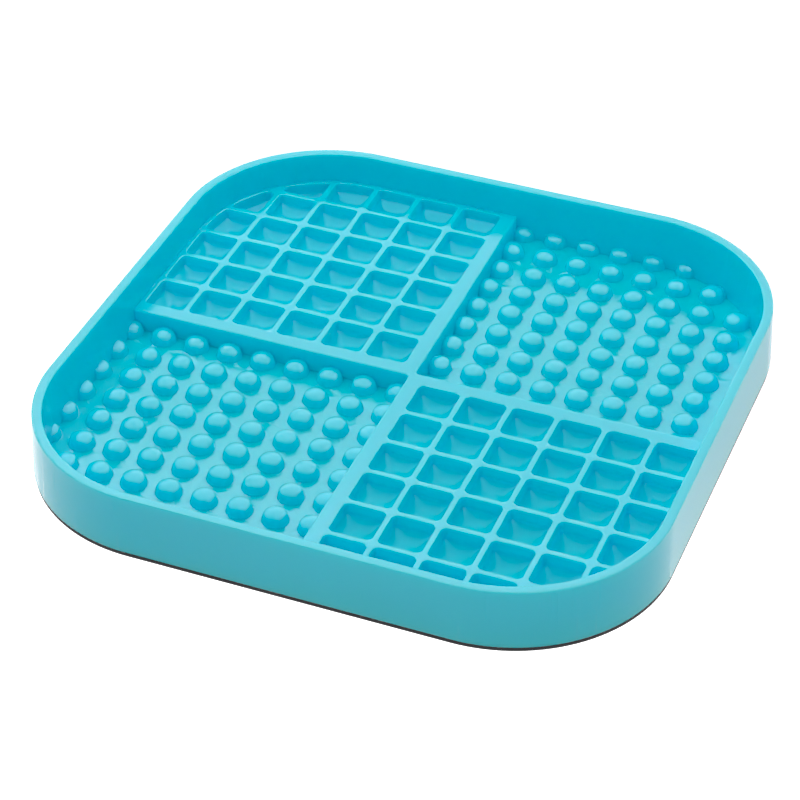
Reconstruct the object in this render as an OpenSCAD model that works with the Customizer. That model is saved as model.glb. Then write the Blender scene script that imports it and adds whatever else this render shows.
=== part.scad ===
// Square slow feeder tray: a soft moulded dish with a raised rim, two waffle
// blocks of square pockets, two sunken fields of round nubs, and a thin
// non-slip base under it. Units are millimetres, +Z is up, and the origin is
// the middle of the underside, on the table.

/* [Tray] */
// Side of the square at its foot
side = 200; // [170:1:240]
// Outer corner radius at the foot
corner_r = 50; // [46:1:54]
// Overall height, table to rim
height = 21; // [18:0.5:26]
// How much the outer wall leans in from foot to rim, each side
lean_out = 0.9; // [0.3:0.1:1.5]
// Thickness of the wall at the rim
rim_t = 3.1; // [2.2:0.1:4]
// How much the inner wall leans from the well floor to the rim
lean_in = 1.3; // [0.6:0.1:2]
// Chamfer on both edges of the rim
rim_edge = 0.8; // [0.3:0.1:1]

/* [Levels] */
// Height of the rib tops and dividers above the table
block_top = 10.75; // [10:0.25:13]
// Height of the floor of the nub wells above the table
well_floor = 3.45; // [3:0.05:3.8]
// Depth of a waffle pocket below the rib tops
pocket_depth = 6; // [3:0.1:6]

/* [Waffle blocks] */
// Pockets along each side of a block
cells = 6; // [4:1:7]
// How far the ledge along the wall stands in from the foot of the inner wall
ledge = 0.65; // [0.3:0.05:1.5]
// Thickness of a rib
rib_t = 1.75; // [1.2:0.05:2.5]
// Distance from a centre line to the first pocket
first_pocket = 4.3; // [3:0.1:4.5]
// How far a block reaches past the centre lines
block_past = 0.75; // [0.5:0.05:1.5]

/* [Nub fields] */
// Distance from one nub to the next
nub_pitch = 11.5; // [10.5:0.1:12]
// Distance from a centre line to the first row of nubs
nub_first = 3.36; // [3:0.01:4]
// Diameter of a nub at the floor
nub_d = 8.6; // [7:0.1:9.5]
// Height of a nub above the floor
nub_h = 4.1; // [3:0.1:4.2]

/* [Base] */
// Thickness of the non-slip base
base_t = 1.4; // [1:0.1:2]
// How far the base stays inside the foot of the tray
base_inset = 0.5; // [0.3:0.1:2]

/* [Hidden] */
$fn = 96;
// Centre of each corner's arc, from the middle of the tray
cc = side / 2 - corner_r;
// Inner wall at the rim and at the well floor, as radii about the corner's centre
r_rim = corner_r - lean_out - rim_t;
r_well = r_rim - lean_in;
r_block = r_well + lean_in * (block_top - well_floor) / (height - well_floor);
// Far side of the last pocket: the waffle blocks end in a narrow ledge along the wall
r_ledge = r_well - ledge;
cell_end = cc + r_ledge;
// Distance from one rib to the next
pitch = (cell_end + rib_t - first_pocket) / cells;
pocket_floor_z = block_top - pocket_depth;
// Sphere that gives a nub its diameter at the floor and its height
nub_sphere = (nub_d * nub_d / 4 + nub_h * nub_h) / (2 * nub_h);
// A field has as many rows as reach the wall
nub_rows = floor((cc + r_well + nub_d / 4 - nub_first) / nub_pitch) + 1;
turquoise = [0.36, 0.80, 0.90];
grey = [0.34, 0.33, 0.33];

// Square with rounded corners: half-size h, corner radius r
module rounded_square(h, r) {
    square([2 * h, 2 * (h - r)], center = true);
    square([2 * (h - r), 2 * h], center = true);
    for (x = [-1, 1], y = [-1, 1]) translate([x * (h - r), y * (h - r)]) circle(r);
}

// Section of the wall, as radius about a corner's centre and height.
// The wall beside a waffle block carries the narrow ledge that closes the pockets.
module wall_section(with_ledge) {
    polygon(concat(
        [[corner_r, well_floor],
         [corner_r - lean_out, height - rim_edge],
         [corner_r - lean_out - rim_edge, height],
         [r_rim + rim_edge, height],
         [r_rim, height - rim_edge]],
        with_ledge ? [[r_block, block_top], [r_ledge, block_top], [r_ledge, well_floor]]
              : [[r_well, well_floor]]));
}

// A straight run of the back wall from x0 to x1
module back_run(x0, x1, with_ledge)
    translate([x0, cc, 0]) rotate([90, 0, 90]) linear_extrude(x1 - x0) wall_section(with_ledge);

// A quarter turn of the wall round the corner in the quadrant that turn degrees lead to
module corner_run(turn, with_ledge)
    rotate(turn) translate([cc, cc, 0]) rotate_extrude(angle = 90) wall_section(with_ledge);

// Half of the wall: the back and right sides with their corners
module half_wall() {
    back_run(-cc, block_past, true);
    back_run(block_past, cc, false);
    corner_run(0, false);
    rotate(-90) back_run(-cc, -block_past, false);
    rotate(-90) back_run(-block_past, cc, true);
    corner_run(-90, true);
}

// Everything inside the ledge of a waffle block, in the quadrant with x and y above zero
module block_area()
    intersection() {
        rounded_square(cell_end, r_ledge);
        translate([first_pocket, first_pocket]) square(cell_end);
    }

// Ribs of one block that run along X
module long_ribs()
    for (k = [1 : cells - 1])
        translate([0, 0, pocket_floor_z]) linear_extrude(pocket_depth) intersection() {
            block_area();
            translate([first_pocket, first_pocket + k * pitch - rib_t]) square([cell_end, rib_t]);
        }

// Short ribs of one block, one between each two pockets of a row
module cross_ribs()
    for (k = [1 : cells - 1], m = [0 : cells - 1]) {
        // the last one fills the corner behind the last rib
        last = k == cells - 1 && m == cells - 1;
        translate([0, 0, pocket_floor_z]) linear_extrude(pocket_depth) intersection() {
            block_area();
            translate([first_pocket + k * pitch - rib_t, first_pocket + m * pitch])
                square([last ? 4 * rib_t : rib_t, pitch - rib_t]);
        }
    }

module pocket_floor()
    translate([0, 0, well_floor]) linear_extrude(pocket_floor_z - well_floor) block_area();

// One nub, a spherical cap that stands on the well floor
module nub(x, y)
    translate([x, y, well_floor]) intersection() {
        translate([0, 0, nub_h - nub_sphere]) sphere(nub_sphere);
        translate([-nub_d, -nub_d, 0]) cube(2 * nub_d);
    }

// The open area of a well, between the two blocks and the wall
module well_area()
    intersection() {
        rounded_square(cc + r_well, r_well);
        translate([block_past, block_past]) square(side);
    }

// How far inside the wall a point of the back-right quadrant lies
function inside(x, y) =
    x > cc && y > cc ? r_well - norm([x - cc, y - cc])
                     : cc + r_well - max(x, y);

// Nubs of one well; those at its edges are cut by the blocks and the wall
module nubs()
    for (i = [0 : nub_rows - 1], j = [0 : nub_rows - 1]) {
        x = nub_first + i * nub_pitch;
        y = nub_first + j * nub_pitch;
        d = inside(x, y);
        if (d > -nub_d / 4) {
            if (i > 0 && j > 0 && d > nub_d / 2 + 0.2) nub(x, y);
            else intersection() {
                nub(x, y);
                translate([0, 0, well_floor - 1]) linear_extrude(nub_h + 2) well_area();
            }
        }
    }

module nonslip_base()
    color(grey) linear_extrude(base_t) rounded_square(side / 2 - base_inset, corner_r - base_inset);

module tray_floor()
    color(turquoise) translate([0, 0, base_t]) linear_extrude(well_floor - base_t)
        rounded_square(side / 2, corner_r);

module rim_wall()
    color(turquoise) union() {
        half_wall();
        rotate(180) half_wall();
    }

module divider_bar(x0, y0, x1, y1)
    translate([x0, y0, well_floor]) cube([x1 - x0, y1 - y0, block_top - well_floor]);

module divider_back() color(turquoise) divider_bar(-first_pocket, -block_past, block_past, cell_end);

module divider_left() color(turquoise) divider_bar(-cell_end, -block_past, -first_pocket, first_pocket);

module divider_front()
    color(turquoise) difference() {
        divider_bar(-block_past, -cell_end, first_pocket, block_past);
        translate([-2 * block_past, -block_past, 0]) cube([3 * block_past, 4 * block_past, height]);
    }

module divider_right() color(turquoise) divider_bar(first_pocket, -first_pocket, cell_end, block_past);

module pocket_floor_back_left() color(turquoise) rotate(90) pocket_floor();

module pocket_floor_front_right() color(turquoise) rotate(-90) pocket_floor();

// The long ribs of both blocks run from left to right
module long_ribs_back_left() color(turquoise) mirror([1, 0, 0]) long_ribs();

module long_ribs_front_right() color(turquoise) mirror([0, 1, 0]) long_ribs();

module cross_ribs_back_left() color(turquoise) mirror([1, 0, 0]) cross_ribs();

module cross_ribs_front_right() color(turquoise) mirror([0, 1, 0]) cross_ribs();

module nubs_back_right() color(turquoise) nubs();

module nubs_front_left() color(turquoise) rotate(180) nubs();

nonslip_base();
tray_floor();
rim_wall();
divider_back();
divider_left();
divider_front();
divider_right();
pocket_floor_back_left();
pocket_floor_front_right();
long_ribs_back_left();
long_ribs_front_right();
cross_ribs_back_left();
cross_ribs_front_right();
nubs_back_right();
nubs_front_left();
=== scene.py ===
import math

import bmesh
import bpy
import numpy as np
from mathutils import Matrix, Vector


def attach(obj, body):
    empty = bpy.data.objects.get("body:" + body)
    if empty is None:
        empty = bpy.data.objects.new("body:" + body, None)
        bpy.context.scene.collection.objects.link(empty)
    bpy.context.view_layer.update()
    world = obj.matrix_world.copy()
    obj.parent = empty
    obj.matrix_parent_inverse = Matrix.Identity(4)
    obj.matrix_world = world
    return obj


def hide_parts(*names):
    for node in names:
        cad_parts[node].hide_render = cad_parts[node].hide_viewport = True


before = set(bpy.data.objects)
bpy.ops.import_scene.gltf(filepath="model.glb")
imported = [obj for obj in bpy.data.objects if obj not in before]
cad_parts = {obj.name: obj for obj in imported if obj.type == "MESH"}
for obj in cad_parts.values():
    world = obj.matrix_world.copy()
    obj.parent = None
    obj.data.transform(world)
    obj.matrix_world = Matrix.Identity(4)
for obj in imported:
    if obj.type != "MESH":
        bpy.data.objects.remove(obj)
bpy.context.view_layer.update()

# ----------------------------------------------------------------------------
# Sizes, in millimetres, as in the CAD model
# ----------------------------------------------------------------------------
CC, HT, BASE = 50.0, 21.0, 1.4            # corner centres, rim height, top of the base
BT, WF = 10.75, 3.45                      # rib tops, floor of the nub wells
R_FOOT, LEAN_OUT = 50.0, 0.9              # outer corner radius and its lean
R_WELL, LEAN_IN = 44.7, 1.3               # inner wall at the well floor and its lean
R_LEDGE = 44.05                           # far side of the pockets
FIRST, PITCH, POCKET, CELLS = 4.35, 15.25, 13.4, 6
PAST = 0.75                               # the waffle blocks reach past the centre lines
NUB_FIRST, NUB_PITCH, NUB_R, NUB_H = 3.36, 11.5, 4.25, 3.92
NUB_LEAN, NUB_DOME = 0.26, 5.2            # lean of a nub's side and radius of its top
MM = 0.001


# ----------------------------------------------------------------------------
# The tray moulding: one soft, rounded form, written as a signed distance
# ----------------------------------------------------------------------------
def curve_table(xk, yk, d0, d1, n=600):
    """A smooth monotone curve through the points, with end slopes d0 and d1, as a table."""
    xk, yk = np.array(xk, float), np.array(yk, float)
    h = np.diff(xk)
    s = np.diff(yk) / h
    m = np.empty_like(yk)
    m[0], m[-1] = d0, d1
    m[1:-1] = 2 / (1 / s[:-1] + 1 / s[1:])
    t = np.linspace(xk[0], xk[-1], n)
    k = np.clip(np.searchsorted(xk, t, "right") - 1, 0, len(h) - 1)
    u = (t - xk[k]) / h[k]
    y = ((2 * u ** 3 - 3 * u ** 2 + 1) * yk[k] + (u ** 3 - 2 * u ** 2 + u) * h[k] * m[k]
         + (3 * u ** 2 - 2 * u ** 3) * yk[k + 1] + (u ** 3 - u ** 2) * h[k] * m[k + 1])
    return t, y


# A pocket: a steep wall, as depth against the distance from the edge, then a dish, as a share of its depth
STEEP, DISH = 10.0, 2.16
WALL_X, WALL_Y = curve_table([0, 0.2, 0.35, 0.55, 0.9, 1.4, 6.75], [0, 1.95, 2.85, 3.3, 3.62, 3.76, 3.8], STEEP, 0.0)
DISH_X, DISH_Y = curve_table([0, 0.35, 0.8, 1.4, 2.0, 2.8, 3.6, 4.3, 5.2, 6.75],
                             [0, 0.03, 0.13, 0.319, 0.528, 0.741, 0.88, 0.954, 0.991, 1.0], 0.05, 0.0)
WALL_S, DISH_S = np.gradient(WALL_Y, WALL_X), np.gradient(DISH_Y, DISH_X)


def join(a, b, r):
    """Union with a fillet of radius r."""
    return np.maximum(r, np.minimum(a, b)) - np.hypot(np.maximum(r - a, 0), np.maximum(r - b, 0))


def meet(a, b, r):
    """Intersection with a rounded edge of radius r."""
    return np.minimum(-r, np.maximum(a, b)) + np.hypot(np.maximum(r + a, 0), np.maximum(r + b, 0))


def tray_field(x, y, z):
    ax, ay = np.abs(x) - CC, np.abs(y) - CC
    rho = np.where((ax > 0) & (ay > 0), np.hypot(ax, ay), np.maximum(ax, ay))
    # outside of the moulding
    skin = (rho - (R_FOOT - LEAN_OUT * (z - BASE) / (HT - BASE))) * 0.999
    body = meet(meet(skin, z - HT, 0.45), BASE - z, 0.4)
    # room inside the rim, down to the rib tops
    wall = (rho - (R_WELL + LEAN_IN * (z - WF) / (HT - WF))) * 0.9973
    # the two sunken wells, back right and front left
    far = (x + y) > 0
    X, Y = np.where(far, x, -x), np.where(far, y, -y)
    sides = meet(PAST - X, PAST - Y, 1.5) + 0.05 * (BT - z)
    inner = join(BT - z, np.maximum(sides, WF - z), 0.7)
    bowl = np.maximum(wall, inner)
    # the pockets, back left and front right
    up = (y - x) > 0
    P, Q = np.where(up, -x, x), np.where(up, y, -y)
    k = np.clip(np.round((P - FIRST - POCKET / 2) / PITCH), 0, CELLS - 1)
    m = np.clip(np.round((Q - FIRST - POCKET / 2) / PITCH), 0, CELLS - 1)
    u = np.abs(P - (FIRST + k * PITCH + POCKET / 2)) - POCKET / 2
    v = np.abs(Q - (FIRST + m * PITCH + POCKET / 2)) - POCKET / 2
    edge = np.hypot(np.maximum(u + 1.8, 0), np.maximum(v + 1.8, 0)) + np.minimum(np.maximum(u, v) + 1.8, 0) - 1.8
    edge = meet(edge, rho - R_LEDGE, 1.2)
    edge = np.where((k == CELLS - 1) & (m == CELLS - 1), np.maximum(edge, 1.0), edge)
    i = -edge
    du, dv, dw = (np.interp(-q, DISH_X, DISH_Y) for q in (u, v, rho - R_LEDGE))
    su, sv = np.interp(-u, DISH_X, DISH_S) * dv * dw, np.interp(-v, DISH_X, DISH_S) * du * dw
    depth = np.where(i > 0, np.interp(i, WALL_X, WALL_Y) + DISH * du * dv * dw, STEEP * i)
    slope = np.where(i > 0, np.interp(i, WALL_X, WALL_S) + DISH * np.hypot(su, sv), STEEP)
    pocket = np.maximum((BT - depth - z) / np.sqrt(1 + slope * slope), z - BT - 0.8)
    room = join(bowl, pocket, 0.38)
    solid = meet(body, -room, 0.55)
    # the nubs
    a = np.clip(np.round((X - NUB_FIRST) / NUB_PITCH), 0, 8)
    b = np.clip(np.round((Y - NUB_FIRST) / NUB_PITCH), 0, 8)
    nx, ny = NUB_FIRST + a * NUB_PITCH, NUB_FIRST + b * NUB_PITCH
    inside = np.where((nx > CC) & (ny > CC), R_WELL - np.hypot(nx - CC, ny - CC),
                      CC + R_WELL - np.maximum(nx, ny))
    r = np.hypot(X - nx, Y - ny) + np.where(inside > -NUB_R / 2, 0, 50)
    nub = meet((r - NUB_R + NUB_LEAN * (z - WF)) / math.hypot(1, NUB_LEAN),
               np.hypot(r, z - (WF + NUB_H - NUB_DOME)) - NUB_DOME, 0.42)
    # one that nearly touches the wall runs into it, one that the wall cuts stays crisp
    nub = np.where(inside > 2, np.maximum(join(nub, -wall, 1.5), z - WF - NUB_H), nub)
    nub = np.maximum(np.maximum(nub, WF - 0.8 - z), wall - 1.2)
    return np.minimum(solid, nub)


def surface_nets(field, h):
    """Closed quad mesh of the field's zero surface on a grid of step h."""
    half = int(np.ceil(100.8 / h))
    x = np.arange(-half, half + 1) * h
    z = np.arange(BASE - 1.37 * h, HT + 2 * h, h)
    n, nz = len(x), len(z)
    F = np.empty((n, n, nz), np.float32)
    xs, ys = x.astype(np.float32)[:, None, None], x.astype(np.float32)[None, :, None]
    zs = z.astype(np.float32)[None, None, :]
    for a in range(0, n, 64):
        F[a:a + 64] = field(xs[a:a + 64], ys, zs)
    S = F < 0
    count = np.zeros((n - 1, n - 1, nz - 1), np.uint8)
    corners = [(i, j, k) for i in (0, 1) for j in (0, 1) for k in (0, 1)]
    for i, j, k in corners:
        count += S[i:n - 1 + i, j:n - 1 + j, k:nz - 1 + k]
    active = (count > 0) & (count < 8)
    A = np.argwhere(active)
    index = np.full(active.shape, -1, np.int32)
    index[active] = np.arange(len(A), dtype=np.int32)
    value = {o: F[A[:, 0] + o[0], A[:, 1] + o[1], A[:, 2] + o[2]].astype(float) for o in corners}
    P, W = np.zeros((len(A), 3)), np.zeros(len(A))
    for o in corners:
        for axis in range(3):
            if o[axis]:
                continue
            o2 = tuple(v + (i == axis) for i, v in enumerate(o))
            hit = (value[o] < 0) != (value[o2] < 0)
            t = np.where(hit, value[o] / np.where(hit, value[o] - value[o2], 1), 0)
            p = np.tile(np.array(o, float), (len(A), 1))
            p[:, axis] += t
            P += p * hit[:, None]
            W += hit
    P = (A + P / W[:, None]) * h + np.array([x[0], x[0], z[0]])
    quads = []
    for axis in range(3):
        lo, hi = [slice(None)] * 3, [slice(None)] * 3
        lo[axis], hi[axis] = slice(0, -1), slice(1, None)
        cross = S[tuple(lo)] != S[tuple(hi)]
        E = np.argwhere(cross)
        solid_first = S[tuple(lo)][cross]
        d1, d2 = np.eye(3, dtype=int)[(axis + 1) % 3], np.eye(3, dtype=int)[(axis + 2) % 3]
        q = np.stack([index[tuple((E - d).T)] for d in (d1 * 0, d1, d1 + d2, d2)], 1)
        q[~solid_first] = q[~solid_first][:, ::-1]
        quads.append(q)
    return P, np.concatenate(quads)


def gradient(field, p, e=0.01):
    g = np.empty_like(p)
    for axis in range(3):
        d = np.eye(3)[axis] * e
        a, b = (p + d).T, (p - d).T
        g[:, axis] = (field(*a) - field(*b)) / (2 * e)
    return g


def settle(field, p, rounds, cap):
    """Moves points onto the field's zero surface."""
    for _ in range(rounds):
        g = gradient(field, p)
        d = g * (field(*p.T) / np.maximum((g * g).sum(1), 1e-6))[:, None]
        length = np.maximum(np.linalg.norm(d, axis=1), 1e-9)
        p = p - d * np.minimum(1, cap / length)[:, None]
    return p


def sharpen(field, p, faces, h):
    """Moves points to where the planes of the faces round them meet, so that creases stay crisp."""
    c = settle(field, p[faces].mean(1), 3, 0.2)
    n = gradient(field, c)
    n /= np.maximum(np.linalg.norm(n, axis=1), 1e-9)[:, None]
    d = (n * c).sum(1)
    flat, k = faces.T.ravel(), faces.shape[1]
    gather = lambda w: np.bincount(flat, np.tile(w, k), len(p))
    A, b = np.empty((len(p), 3, 3)), np.empty((len(p), 3))
    for i in range(3):
        b[:, i] = gather(n[:, i] * d)
        for j in range(i, 3):
            A[:, i, j] = A[:, j, i] = gather(n[:, i] * n[:, j])
    A += 0.1 * np.eye(3)
    b += 0.1 * p
    step = np.linalg.solve(A, b[..., None])[..., 0] - p
    length = np.maximum(np.linalg.norm(step, axis=1), 1e-9)
    return p + step * np.minimum(1, 0.4 * h / length)[:, None]


def corner_normals(field, p, faces):
    """Smooth normals at the corners of the faces, split at creases; a broad face beside a fillet keeps its own."""
    def unit(v):
        return v / np.maximum(np.linalg.norm(v, axis=-1), 1e-9)[..., None]

    corner = p[faces]
    c = corner.mean(1)
    cross = (np.cross(corner[:, 1] - corner[:, 0], corner[:, 2] - corner[:, 0]) if faces.shape[1] == 3
             else np.cross(corner[:, 2] - corner[:, 0], corner[:, 3] - corner[:, 1]))
    flat = unit(cross)
    longest = np.max(np.linalg.norm(corner - np.roll(corner, 1, 1), axis=2), 1)
    width = np.linalg.norm(cross, axis=1) / np.maximum(longest, 1e-9)
    limit = np.cos(np.radians(np.interp(width, [0.5, 0.95], [20, 8]) if faces.shape[1] == 3 else 20.0 + 0 * width))
    out = unit(gradient(field, p))[faces]
    for k in range(faces.shape[1]):
        own = out[:, k]
        off = np.where((own * flat).sum(1) < limit)[0]
        near = [unit(gradient(field, corner[off, k] + part * (c[off] - corner[off, k]))) for part in (0.15, 0.35, 0.7)]
        smooth = np.all([(g * own[off]).sum(1) > 0.985 for g in near[1:]], 0)
        best, score = flat[off].copy(), np.full(len(off), 0.8)
        for g in near:
            f = (g * flat[off]).sum(1)
            better = f > score
            best[better], score[better] = g[better], f[better]
        best[smooth] = own[off][smooth]
        out[off, k] = best
    return out


def mesh_from(name, points, faces):
    mesh = bpy.data.meshes.new(name)
    faces = np.asarray(faces, np.int32)
    mesh.vertices.add(len(points))
    mesh.vertices.foreach_set("co", np.ascontiguousarray(points, np.float32).ravel())
    mesh.loops.add(faces.size)
    mesh.loops.foreach_set("vertex_index", faces.ravel())
    mesh.polygons.add(len(faces))
    mesh.polygons.foreach_set("loop_start", np.arange(0, faces.size, faces.shape[1], dtype=np.int32))
    mesh.update(calc_edges=True)
    mesh.validate()
    return mesh


def add_object(name, mesh):
    ob = bpy.data.objects.new(name, mesh)
    bpy.context.scene.collection.objects.link(ob)
    return ob


def make_tray():
    step = 0.45
    points, quads = surface_nets(tray_field, step)
    points = settle(tray_field, points, 3, 0.15)
    for _ in range(2):
        points = sharpen(tray_field, points, quads, step)
    ob = add_object("tray_moulding", mesh_from("tray_moulding", points, quads))
    thin = ob.modifiers.new("thin", "DECIMATE")
    thin.ratio = min(1, 193000 / (2 * len(quads)))
    thin.use_collapse_triangulate = True
    dg = bpy.context.evaluated_depsgraph_get()
    small = bpy.data.meshes.new_from_object(ob.evaluated_get(dg))
    ob.modifiers.clear()
    old = ob.data
    ob.data = small
    bpy.data.meshes.remove(old)
    small.name = "tray_moulding"
    mesh = ob.data
    p = np.empty(len(mesh.vertices) * 3)
    mesh.vertices.foreach_get("co", p)
    p = settle(tray_field, p.reshape(-1, 3), 1, 0.02)
    sides = 3
    corners = np.empty(len(mesh.loops), np.int32)
    mesh.loops.foreach_get("vertex_index", corners)
    normals = corner_normals(tray_field, p, corners.reshape(-1, sides))
    mesh.vertices.foreach_set("co", (p * MM).astype(np.float32).ravel())
    mesh.polygons.foreach_set("use_smooth", np.ones(len(mesh.polygons), bool))
    mesh.update()
    mesh.normals_split_custom_set(normals.reshape(-1, 3).tolist())
    return ob


# ----------------------------------------------------------------------------
# The base: a thin near-black pad under the tray, with rounded edges and shallow grooves underneath; it shows as the
# dark line along the tray's bottom edge
# ----------------------------------------------------------------------------
def make_base():
    arc, run = 32, 12
    inset = 0.25

    def ring(r):
        """Outline at radius r about the corner centres."""
        pts = []
        for q in range(4):
            c, s = [(1, 0), (0, 1), (-1, 0), (0, -1)][q]
            local = [(CC + r * math.cos(t), CC + r * math.sin(t))
                     for t in (math.pi / 2 * i / arc for i in range(arc + 1))]
            local += [(CC - 2 * CC * i / run, CC + r) for i in range(1, run)]
            pts += [(c * px - s * py, s * px + c * py) for px, py in local]
        return pts

    side = R_FOOT - inset
    section = [(8.0, BASE), (30.0, BASE), (side - 0.3, BASE), (side - 0.09, BASE - 0.09), (side, BASE - 0.3),
               (side, BASE / 2), (side, 0.2), (side - 0.03, 0.1), (side - 0.08, 0.04), (side - 0.2, 0.0)]
    for g in (46.0, 43.0, 40.0):
        section += [(g + 0.75, 0.0), (g + 0.62, 0.06), (g + 0.45, 0.34), (g + 0.25, 0.45),
                    (g - 0.25, 0.45), (g - 0.45, 0.34), (g - 0.62, 0.06), (g - 0.75, 0.0)]
    section += [(30.0, 0.0), (20.0, 0.0), (8.0, 0.0)]
    bm = bmesh.new()
    rings = [[bm.verts.new((px * MM, py * MM, z * MM)) for px, py in ring(r)] for r, z in section]
    n = len(rings[0])
    for a, b in zip(rings, rings[1:]):
        for i in range(n):
            j = (i + 1) % n
            bm.faces.new((a[i], b[i], b[j], a[j]))
    bm.faces.new(rings[0])
    bm.faces.new(rings[-1][::-1])
    bmesh.ops.recalc_face_normals(bm, faces=bm.faces)
    bmesh.ops.triangulate(bm, faces=[f for f in bm.faces if len(f.verts) > 4])
    mesh = bpy.data.meshes.new("base_pad")
    bm.to_mesh(mesh)
    bm.free()
    ob = add_object("base_pad", mesh)
    mesh.polygons.foreach_set("use_smooth", np.ones(len(mesh.polygons), bool))
    mesh.set_sharp_from_angle(angle=math.radians(40))
    return ob


# ----------------------------------------------------------------------------
# Materials
# ----------------------------------------------------------------------------
def node(tree, kind, **values):
    n = tree.nodes.new(kind)
    for key, value in values.items():
        if key in n.inputs:
            n.inputs[key].default_value = value
        else:
            setattr(n, key, value)
    return n


def noise(tree, coord, scale, detail, rough):
    n = node(tree, "ShaderNodeTexNoise", Scale=scale, Detail=detail, Roughness=rough)
    tree.links.new(coord.outputs["Object"], n.inputs["Vector"])
    return n


def spread(tree, source, lo, hi, frm=0.3, to=0.7):
    n = node(tree, "ShaderNodeMapRange")
    for key, value in (("From Min", frm), ("From Max", to), ("To Min", lo), ("To Max", hi)):
        n.inputs[key].default_value = value
    tree.links.new(source, n.inputs["Value"])
    return n


def tint(tree, source, a, b, lo=0.35, hi=0.65):
    n = node(tree, "ShaderNodeValToRGB")
    n.color_ramp.elements[0].position, n.color_ramp.elements[0].color = lo, (*a, 1)
    n.color_ramp.elements[1].position, n.color_ramp.elements[1].color = hi, (*b, 1)
    tree.links.new(source, n.inputs["Fac"])
    return n


def silicone():
    mat = bpy.data.materials.new("turquoise_silicone")
    mat.use_nodes = True
    t = mat.node_tree
    b = t.nodes["Principled BSDF"]
    coord = node(t, "ShaderNodeTexCoord")
    cloud = noise(t, coord, 18, 3, 0.5)
    colour = tint(t, cloud.outputs["Fac"], (0.005, 0.72, 0.835), (0.007, 0.74, 0.855))
    t.links.new(colour.outputs["Color"], b.inputs["Base Color"])
    grain = noise(t, coord, 900, 3, 0.6)
    # the floors of the pockets shine less than the rest
    place = node(t, "ShaderNodeSeparateXYZ")
    t.links.new(coord.outputs["Object"], place.inputs["Vector"])
    side = node(t, "ShaderNodeMath", operation="MULTIPLY")
    t.links.new(place.outputs["X"], side.inputs[0])
    t.links.new(place.outputs["Y"], side.inputs[1])
    waffle = node(t, "ShaderNodeMath", operation="LESS_THAN")
    waffle.inputs[1].default_value = 0.0
    t.links.new(side.outputs["Value"], waffle.inputs[0])
    low = spread(t, place.outputs["Z"], 1.0, 0.0, (BT - 3.9) * MM, (BT - 3.2) * MM)
    lying = node(t, "ShaderNodeNewGeometry")
    tilt = node(t, "ShaderNodeSeparateXYZ")
    t.links.new(lying.outputs["Normal"], tilt.inputs["Vector"])
    flat = spread(t, tilt.outputs["Z"], 0.0, 1.0, 0.3, 0.65)
    inside = node(t, "ShaderNodeMath", operation="MULTIPLY")
    t.links.new(waffle.outputs["Value"], inside.inputs[0])
    t.links.new(low.outputs["Result"], inside.inputs[1])
    dull = node(t, "ShaderNodeMath", operation="MULTIPLY")
    t.links.new(inside.outputs["Value"], dull.inputs[0])
    t.links.new(flat.outputs["Result"], dull.inputs[1])
    # painted reflection: on the pocket floors the shine fades from back left to front right, standing in for the light
    # falling off across the tray
    across = node(t, "ShaderNodeMath", operation="SUBTRACT")
    t.links.new(place.outputs["X"], across.inputs[0])
    t.links.new(place.outputs["Y"], across.inputs[1])
    painted_reflection_fade = spread(t, across.outputs["Value"], 0.25, 0.16, -0.1, 0.1)
    shine = spread(t, dull.outputs["Value"], 0.5, 0.25, 0.0, 1.0)
    t.links.new(painted_reflection_fade.outputs["Result"], shine.inputs["To Max"])
    t.links.new(shine.outputs["Result"], b.inputs["Specular IOR Level"])
    rough = spread(t, grain.outputs["Fac"], 0.14, 0.17)
    soft = node(t, "ShaderNodeMath", operation="MULTIPLY_ADD")
    soft.inputs[1].default_value = 0.06
    t.links.new(dull.outputs["Value"], soft.inputs[0])
    t.links.new(rough.outputs["Result"], soft.inputs[2])
    t.links.new(soft.outputs["Value"], b.inputs["Roughness"])
    bump = node(t, "ShaderNodeBump", Strength=0.01, Distance=0.0001)
    t.links.new(grain.outputs["Fac"], bump.inputs["Height"])
    t.links.new(bump.outputs["Normal"], b.inputs["Normal"])
    b.inputs["IOR"].default_value = 1.45
    b.inputs["Subsurface Weight"].default_value = 1.0
    b.inputs["Subsurface Radius"].default_value = (0.3, 1.0, 1.0)
    b.inputs["Subsurface Scale"].default_value = 0.004
    return mat


def dark_pad_material():
    mat = bpy.data.materials.new("dark_pad_surface")
    mat.use_nodes = True
    t = mat.node_tree
    b = t.nodes["Principled BSDF"]
    coord = node(t, "ShaderNodeTexCoord")
    cloud = noise(t, coord, 60, 4, 0.6)
    # near-black: under the tray this pad draws the dark line along the bottom edge
    colour = tint(t, cloud.outputs["Fac"], (0.028, 0.029, 0.031), (0.040, 0.041, 0.043))
    t.links.new(colour.outputs["Color"], b.inputs["Base Color"])
    grain = noise(t, coord, 1500, 4, 0.65)
    rough = spread(t, grain.outputs["Fac"], 0.6, 0.8)
    t.links.new(rough.outputs["Result"], b.inputs["Roughness"])
    bump = node(t, "ShaderNodeBump", Strength=0.25, Distance=0.0002)
    t.links.new(grain.outputs["Fac"], bump.inputs["Height"])
    t.links.new(bump.outputs["Normal"], b.inputs["Normal"])
    b.inputs["IOR"].default_value = 1.5
    b.inputs["Specular IOR Level"].default_value = 0.2
    return mat


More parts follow.
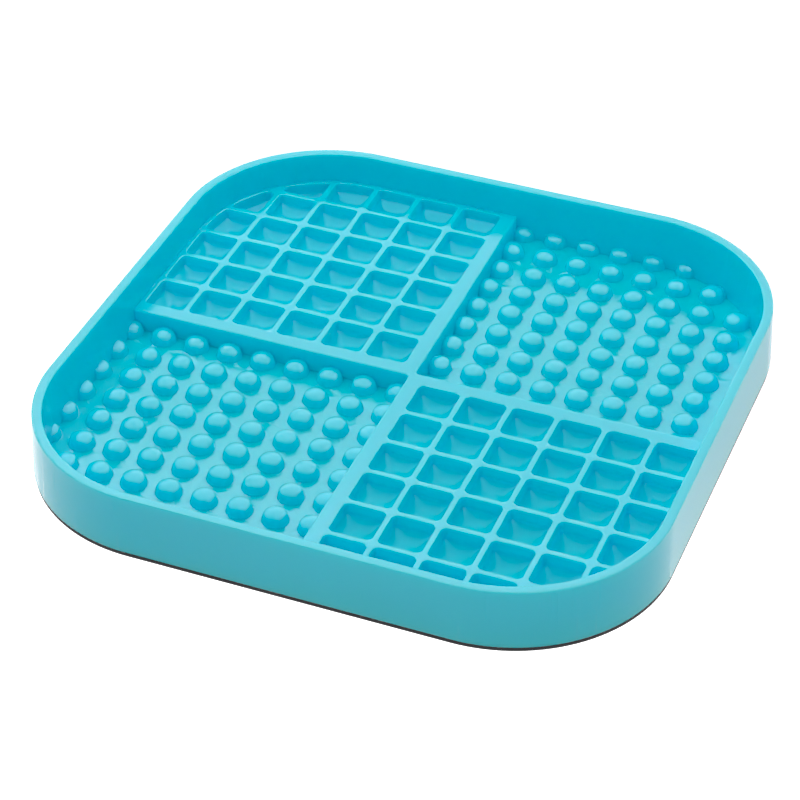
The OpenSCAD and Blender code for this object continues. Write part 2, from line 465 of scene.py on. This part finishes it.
def floor_material():
    mat = bpy.data.materials.new("studio_floor")
    mat.use_nodes = True
    t = mat.node_tree
    b = t.nodes["Principled BSDF"]
    b.inputs["Base Color"].default_value = (0.02, 0.02, 0.02, 1)
    b.inputs["Roughness"].default_value = 1.0
    b.inputs["Specular IOR Level"].default_value = 0.0
    b.inputs["Emission Color"].default_value = (1, 1, 1, 1)
    # brighter in front of the tray
    coord = node(t, "ShaderNodeTexCoord")
    place = node(t, "ShaderNodeSeparateXYZ")
    t.links.new(coord.outputs["Object"], place.inputs["Vector"])
    glow = spread(t, place.outputs["Y"], 1.9, 1.15, -0.14, 0.02)
    t.links.new(glow.outputs["Result"], b.inputs["Emission Strength"])
    return mat


# ----------------------------------------------------------------------------
# Build
# ----------------------------------------------------------------------------
tray = make_tray()
tray.data.materials.append(silicone())
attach(tray, "root")
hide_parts(*[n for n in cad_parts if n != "nonslip_base"])

base = make_base()
base.data.materials.append(dark_pad_material())
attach(base, "root")
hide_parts("nonslip_base")

# Floor
bm = bmesh.new()
bmesh.ops.create_grid(bm, x_segments=8, y_segments=8, size=4.0)
floor_mesh = bpy.data.meshes.new("studio_floor")
bm.to_mesh(floor_mesh)
bm.free()
floor = add_object("studio_floor", floor_mesh)
floor.location.z = -0.0002
floor.data.materials.append(floor_material())
floor.visible_diffuse = False

# Light
scene = bpy.context.scene
world = bpy.data.worlds.new("studio")
scene.world = world
world.use_nodes = True
world.cycles_visibility.glossy = False
t = world.node_tree
way = node(t, "ShaderNodeTexCoord")
split = node(t, "ShaderNodeSeparateXYZ")
t.links.new(way.outputs["Generated"], split.inputs["Vector"])
sky = tint(t, spread(t, split.outputs["Z"], 0, 1, -0.4, 0.4).outputs["Result"],
           (0.48, 0.48, 0.49), (0.41, 0.41, 0.42), 0.0, 1.0)
t.links.new(sky.outputs["Color"], t.nodes["Background"].inputs["Color"])


def panel(name, place, aim, size, radiance):
    """A soft box that shines at aim with a given radiance."""
    light = bpy.data.lights.new(name, "AREA")
    light.shape = "RECTANGLE"
    light.size, light.size_y = size
    light.energy = radiance * math.pi * size[0] * size[1]
    ob = bpy.data.objects.new(name, light)
    scene.collection.objects.link(ob)
    ob.location = place
    ob.rotation_euler = (Vector(aim) - Vector(place)).to_track_quat("-Z", "Y").to_euler()
    return ob


az = math.radians(21.290)
el = math.radians(37.393)
away = Vector((-math.sin(az), math.cos(az), 0))         # horizontally, from the camera to the tray
for box in (
        panel("front_glow", (0.0, -0.8, 0.45), (0.0, 0.0, 0.1), (1.8, 0.5), 1.2),
        panel("softbox_lip", (0.0, -0.35, 0.5), (0.0, -0.35, 0.0), (1.2, 0.2), 1.3),
        panel("softbox_front", (0.0, -0.07, 0.5), (0.0, -0.07, 0.0), (1.2, 0.36), 3.7),
        panel("softbox_above", (0.0, 0.305, 0.5), (0.0, 0.305, 0.0), (1.2, 0.39), 4.2),
        panel("softbox_back", (0.0, 0.735, 0.5), (0.0, 0.735, 0.0), (1.2, 0.47), 2.9),
        panel("wall_back", (0.0, 0.97, 0.25), (0.0, 0.0, 0.25), (1.4, 0.5), 3.2),
        panel("wall_left", (-0.7, 0.13, 0.25), (0.0, 0.13, 0.25), (1.6, 0.5), 3.2),
        panel("wall_right", (0.7, 0.13, 0.25), (0.0, 0.13, 0.25), (1.6, 0.5), 2.8),
        panel("wall_front", (0.0, -1.5, 0.15), (0.0, 0.0, 0.15), (2.4, 0.3), 1.5)):
    box.data.color = (0.97, 0.98, 1.11)
    box.visible_camera = False
    box.visible_diffuse = False
for box in (
        panel("key", (-0.16, 0.16, 0.5), (-0.06, 0.06, 0.0), (0.5, 0.5), 1.42),
        panel("fill", (0.23, -0.59, 0.5), (0.0, 0.0, 0.0), (0.3, 0.3), 0.5)):
    box.data.color = (0.98, 0.98, 1.03)
    box.visible_glossy = False

# Camera
target = Vector((0.0898, -0.9116, 0)) * 15.25 * MM + Vector((0, 0, BT * MM))
back = Vector((math.sin(az) * math.cos(el), -math.cos(az) * math.cos(el), math.sin(el)))
right = Vector((math.cos(az), math.sin(az), 0))
above = back.cross(right)
roll = math.radians(0.254)
right, above = right * math.cos(roll) + above * math.sin(roll), above * math.cos(roll) - right * math.sin(roll)
eye = target + back * (53.781 * 15.25 * MM)
cam = bpy.data.cameras.new("camera")
cam.sensor_fit = "HORIZONTAL"
cam.sensor_width = 36
cam.lens = 2680.3 / 800 * 36
cam.clip_start, cam.clip_end = 0.01, 50
camera = bpy.data.objects.new("camera", cam)
scene.collection.objects.link(camera)
camera.matrix_world = Matrix((
    (right.x, above.x, back.x, eye.x),
    (right.y, above.y, back.y, eye.y),
    (right.z, above.z, back.z, eye.z),
    (0, 0, 0, 1)))
scene.camera = camera
scene.view_settings.view_transform = "Standard"
scene.view_settings.look = "None"

# Grade: a little more saturation, as in a shop photograph
scene.use_nodes = True
grade = scene.node_tree
grade.nodes.clear()
layers = grade.nodes.new("CompositorNodeRLayers")
vivid = grade.nodes.new("CompositorNodeHueSat")
vivid.inputs["Saturation"].default_value = 1.05
picture = grade.nodes.new("CompositorNodeComposite")
grade.links.new(layers.outputs["Image"], vivid.inputs["Image"])
grade.links.new(vivid.outputs["Image"], picture.inputs["Image"])
